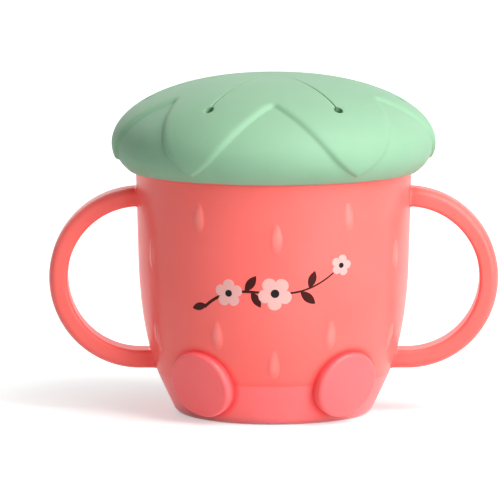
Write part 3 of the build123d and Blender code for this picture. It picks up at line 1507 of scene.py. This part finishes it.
    def opening_edge(self) -> tuple[Array, Array, Array]:
        """Edge of the lid's opening: six hinge lines joined by the outer sides of the round holes.

        Returns:
            Across and ahead of each edge point, and the angle that its column ends at.
        """
        half_chord = self.half_side - self.hole_radius
        chord = np.linspace(-half_chord, half_chord, self.chord_columns)
        sweep = self.hole_sweep
        hole_turn = np.radians(np.linspace(-sweep, sweep, self.hole_columns + 2)[1:-1])
        hole_span = math.radians(self.hole_share) / 2
        chord_span = self.half_angle - hole_span
        edge, ends = [], []
        for i in range(self.leaf_count):
            middle = i * 2 * self.half_angle
            edge.append(rotated(chord, np.full(len(chord), self.hinge_reach), middle))
            ends.append(middle + chord / half_chord * chord_span)
            hole_at = middle + self.half_angle
            round_x = self.hole_radius * np.sin(hole_turn)
            round_y = self.hole_reach + self.hole_radius * np.cos(hole_turn)
            edge.append(rotated(round_x, round_y, hole_at))
            ends.append(hole_at + hole_turn / math.radians(sweep) * hole_span)
        points = np.concatenate(edge)
        return points[:, 0], points[:, 1], np.concatenate(ends)

    def hole_distance(self, arc: Array, azimuth: Array) -> Array:
        """Distance in plan from the nearest round hole's edge.

        Args:
            arc: distance from the crown along the dome.
            azimuth: radians from the front.

        Returns:
            The distance, below zero inside a hole.
        """
        radius = self.radius_at(arc)
        away = (azimuth % (2 * self.half_angle)) - self.half_angle
        return np.hypot(radius * np.sin(away), radius * np.cos(away) - self.hole_reach) - self.hole_radius

    def build_dome(self) -> Object:
        """The lid without its flaps, as one closed skin.

        Columns start on the opening's edge and end on circles; rows run over the dome and
        under the curl, along the web and the plug, and back under the dome to the edge.

        Returns:
            The new object.
        """
        across, ahead, end_azimuth = self.opening_edge()
        start_azimuth = np.unwrap(np.arctan2(across, ahead))
        start_azimuth += round((end_azimuth[0] - start_azimuth[0]) / TURN) * TURN
        start_arc = self.arc_of(np.hypot(across, ahead))
        share = np.linspace(0, 1, self.blend_rows)[:-1, None]
        blend_arc = start_arc + share * (self.circle_arc - start_arc)
        blend_azimuth = start_azimuth + smooth(share) * (end_azimuth - start_azimuth)
        plain = np.linspace(self.circle_arc, self.arc[-1], self.plain_rows)[:, None]
        plain_arc = plain + 0 * end_azimuth
        plain_azimuth = end_azimuth + 0 * plain_arc
        arc = np.concatenate([blend_arc, plain_arc])
        azimuth = np.concatenate([blend_azimuth, plain_azimuth])
        depth = self.leaf_proud * self.sunk_share(arc, azimuth)
        depth = depth + self.edge_fall(np.maximum(self.hole_distance(arc, azimuth), 0))
        outer = self.at(arc, azimuth, depth)
        inner = self.inner_rows(end_azimuth)
        back = slice(None, None, -self.under_every)
        under = self.at(blend_arc[back], blend_azimuth[back], self.skin)
        edge = self.at(start_arc, start_azimuth, self.skin)[None]
        return shell("lid_dome", np.concatenate([outer, inner, under, edge]), Ends.LOOP)

    def inner_rows(self, azimuth: Array) -> Array:
        """Circles of the hidden side: lip, inside of the curl, web, plug, and the dome's underside.

        Args:
            azimuth: radians from the front of each column.

        Returns:
            Grid of points.
        """
        web_low = self.rim_height + self.seat_clearance
        web_top = web_low + self.web_thickness
        lip = (self.lip_radius, self.lip_height)
        tuck = self.brim_radius - self.curl_inset
        tuck_end = (tuck - self.lip_tuck[0], self.lip_height - self.lip_tuck[1])
        inside = self.brim_radius - self.skin
        hollow = (inside - self.curl_hollow[0], self.lip_height + self.curl_hollow[1])
        web_end = (inside - self.web_inset, web_low)
        web_out = (self.plug_radius, web_low)
        plug_out = (self.plug_radius, self.rim_height - self.plug_depth)
        plug_in = (self.plug_radius - self.plug_thickness, plug_out[1])
        web_in = (plug_in[0], web_top)
        web_far = (self.web_reach, web_top)
        near, gap, wide = self.row_gaps
        parts = [
            corner((tuck, self.lip_height + self.lip_run), tuck_end, lip, self.lip_round, steps=5)[1:],
            corner((tuck, self.lip_height), lip, (self.lip_radius, web_low), self.lip_round, steps=5),
            bezier((self.lip_radius, self.lip_height + self.lip_rise), hollow, web_end, steps=8),
            line(web_end, web_out, steps=3),
            line(web_out, (self.plug_radius, plug_out[1] + gap), steps=5),
            corner(web_out, plug_out, plug_in, self.plug_round, steps=4),
            corner(plug_out, plug_in, web_in, self.plug_round, steps=4),
            line((plug_in[0], plug_in[1] + wide), (plug_in[0], web_top - near), steps=5),
            corner(plug_in, web_in, web_far, self.web_round, steps=4),
            line((plug_in[0] + wide, web_top), (self.web_reach - near, web_top), steps=4),
        ]
        rows = turned(np.concatenate(parts), azimuth - math.pi / 2)
        top_arc = self.under_arc_at(web_top + near)
        under = np.linspace(top_arc, self.circle_arc, num=6)[:, None] + 0 * azimuth
        return np.concatenate([rows, self.at(under, azimuth + 0 * under, self.skin)])

    def under_arc_at(self, height: float) -> float:
        """Where along the dome its underside is at a height.

        Args:
            height: millimetres above the floor.

        Returns:
            Distance from the crown.
        """
        level = self.meridian[:, 1] - self.skin * self.normal[:, 1]
        before_brim = self.arc <= self.arc_of_brim()
        return float(np.interp(-height, -level[before_brim], self.arc[before_brim]))

    def flap_half_width(self, reach: Array) -> Array:
        """Half width of a flap, kept off its slits and off the round holes.

        Args:
            reach: distance from the axis along the flap's middle.

        Returns:
            Half the hinge line less the wider of the hole's side and the slit's side.
        """
        back = self.hinge_reach - reach
        hole = np.sqrt(np.clip(self.hole_radius**2 - back**2, 0, None))
        gap = self.slit_half(reach) / math.cos(self.half_angle)
        slit = back * math.tan(self.half_angle) + gap
        return self.half_side - np.maximum(hole, slit)

    def slit_half(self, reach: Array) -> Array:
        """Half width of a slit: almost closed at the crown, a hairline at the holes."""
        share = np.clip(reach / self.hinge_reach, 0, 1)
        return self.slit_at_crown + (self.slit_at_hole - self.slit_at_crown) * share**self.slit_power

    def build_flap(self, name: str, middle: float) -> Object:
        """One flap as a closed slab on the dome's own surface.

        Args:
            name: the piece's name.
            middle: radians from the front to the flap's middle.

        Returns:
            The new object.
        """
        tip = self.slit_at_crown / math.sin(self.half_angle) + self.flap_tip_gap
        share = np.linspace(0, 1, self.flap_rows)
        reach = tip + (self.hinge_reach - tip) * (1 - (1 - share) ** self.flap_row_power)
        half = self.flap_half_width(reach)
        near = np.array(self.flap_edge_places) * np.minimum(1, half / self.flap_edge_width)[:, None]
        inner = np.linspace(-1, 1, self.flap_columns)[1:-1] * (half - near[:, -1])[:, None]
        spread = np.concatenate([near - half[:, None], inner, (half[:, None] - near)[:, ::-1]], 1)
        ahead = reach[:, None] + 0 * spread
        points = rotated(spread, ahead, middle)
        azimuth = np.arctan2(points[..., 0], points[..., 1])
        arc = self.arc_of(np.hypot(points[..., 0], points[..., 1]))
        to_slit = (half[:, None] - np.abs(spread)) * math.cos(self.half_angle)
        rooted = smooth((self.hinge_reach - reach) / self.hole_radius)[:, None]
        hole = np.hypot(np.abs(spread) - self.half_side, ahead - self.hinge_reach) - self.hole_radius
        shift, span = self.slit_rounding
        opened = smooth((reach / self.hinge_reach - shift) / span)[:, None]
        fall = np.maximum(self.edge_fall(to_slit) * rooted * opened, self.edge_fall(np.maximum(hole, 0)))
        top = self.at(arc, azimuth, fall)
        bottom = self.at(arc, azimuth, self.skin)
        grid = np.concatenate([top, bottom[:, ::-1]], 1)
        return shell(name, grid, Ends.STRIP)

    def build(self, finishes: Finishes) -> list[Object]:
        """Builds and dresses the dome and its flaps, each flap ending on its hinge line.

        Args:
            finishes: the materials.

        Returns:
            The new objects.
        """
        dome = dressed(self.build_dome(), finishes.silicone)
        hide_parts("lid_cover")
        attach(dome, "lid")
        made = [dome]
        for body, place in self.places.items():
            flap = self.build_flap("leaf_" + body, math.atan2(place[0], -place[1]))
            dressed(flap, finishes.silicone)
            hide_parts("lid_" + body)
            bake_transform(flap)
            made.append(flap)
        return made


# ------------------------------------------------------------------ studio


@dataclass(frozen=True)
class Lamp:
    """A square soft lamp, in metres and watts."""

    name: str
    place: Triple
    size: float
    watts: float


@dataclass
class Studio:
    """Floor, soft light and the camera of the photograph's view."""

    distance: float = 2.0
    camera_height: float = 0.2966
    pitch: float = 7.01
    focal_pixels: float = 6468.9
    axis_pixel: float = 273.63
    frame_pixels: float = 500.0
    floor_half: float = 9.0
    floor_tone: Colour = (0.7, 0.78, 0.775, 1.0)
    floor_glow: float = 0.46
    floor_far_glow: float = 0.72
    glow_reach: Pair = (0.025, 0.105)
    world_light: float = 0.16
    world_seen: float = 1.0
    aim: Triple = (0.0, 0.0, 0.05)
    lamps: tuple[Lamp, ...] = (
        Lamp("key", (0.97, -0.76, 1.56), 1.1, 27.0),
        Lamp("front_screen", (1.35, -1.45, 0.5), 1.4, 32.5),
        Lamp("back_fill", (-0.8, 1.6, 1.1), 1.2, 6.5),
    )

    def build_camera(self) -> None:
        """Places the camera in front and shifts it so that the cup's axis falls on its pixel."""
        data = bpy.data.cameras.new("camera")
        data.sensor_width = 36.0
        data.lens = self.focal_pixels / self.frame_pixels * data.sensor_width
        data.shift_x = -(self.axis_pixel - self.frame_pixels / 2) / self.frame_pixels
        data.clip_end = 60.0
        camera = linked("camera", data)
        camera.location = (0.0, -self.distance, self.camera_height)
        camera.rotation_euler = (math.radians(90 - self.pitch), 0.0, 0.0)
        bpy.context.scene.camera = camera

    def build_floor(self) -> None:
        """A pale floor that glows to white for the camera and in reflections, and keeps the shadow.

        The glow grows from floor_glow to floor_far_glow with the distance from the cup: the lesser glow
        near the cup is painted shade, which deepens the shadow there and lets it fade with distance.
        """
        half = self.floor_half
        mesh = bpy.data.meshes.new("floor")
        corners = [(-half, -half, 0), (half, -half, 0), (half, half, 0), (-half, half, 0)]
        mesh.from_pydata(corners, [], [(0, 1, 2, 3)])
        floor = linked("floor", mesh)
        material = bpy.data.materials.new("floor_paper")
        material.use_nodes = True
        tree = material.node_tree
        tree.nodes.clear()
        distance = added(tree, "VectorMath", {0: object_place(tree)}, operation="LENGTH").outputs["Value"]
        # painted shade: less glow near the cup
        far = ramp(tree, distance, *self.glow_reach)
        extra = math_node(tree, "MULTIPLY", far, self.floor_far_glow - self.floor_glow)
        level = math_node(tree, "ADD", extra, self.floor_glow)
        glow = added(tree, "Emission", {"Strength": math_node(tree, "MULTIPLY", seen_rays(tree), level)})
        matt = added(tree, "BsdfDiffuse", {"Color": self.floor_tone})
        total = added(tree, "AddShader", {0: matt.outputs[0], 1: glow.outputs[0]})
        added(tree, "OutputMaterial", {"Surface": total.outputs[0]})
        floor.data.materials.append(material)

    def build_world(self) -> None:
        """A white surround: weak as light, white to the camera and in reflections."""
        world = bpy.data.worlds.new("surround")
        world.use_nodes = True
        tree = world.node_tree
        extra = math_node(tree, "MULTIPLY", seen_rays(tree), self.world_seen - self.world_light)
        total = math_node(tree, "ADD", extra, self.world_light)
        wire(tree, tree.nodes["Background"], {"Color": WHITE, "Strength": total})
        bpy.context.scene.world = world

    def add_lamp(self, lamp: Lamp) -> None:
        """Places a lamp that looks at the cup.

        Args:
            lamp: the lamp.
        """
        data = bpy.data.lights.new(lamp.name, "AREA")
        data.size = lamp.size
        data.energy = lamp.watts
        light = linked(lamp.name, data)
        light.location = lamp.place
        aim = Vector(self.aim) - Vector(lamp.place)
        light.rotation_euler = aim.to_track_quat("-Z", "Y").to_euler()

    def build(self) -> None:
        """Sets the stage."""
        bpy.context.scene.view_settings.view_transform = "Standard"
        self.build_camera()
        self.build_floor()
        self.build_world()
        for lamp in self.lamps:
            self.add_lamp(lamp)


def main() -> None:
    """Loads the frame, builds the cup, the print and the lid."""
    logging.basicConfig(level=logging.INFO, format="%(name)s: %(message)s")
    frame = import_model()
    finishes = Finishes()
    cup = Cup()
    hinges = [joint for joint in frame["joints"] if joint["type"] == "hinge"]
    for part in (cup, Sprig(cup), LeafLid(cup.rim_height, hinges)):
        for piece in part.build(finishes):
            LOG.info("%s: %s, %d faces", type(part).__name__, piece.name, len(piece.data.polygons))
    Studio().build()


if __name__ == "__main__":
    main()
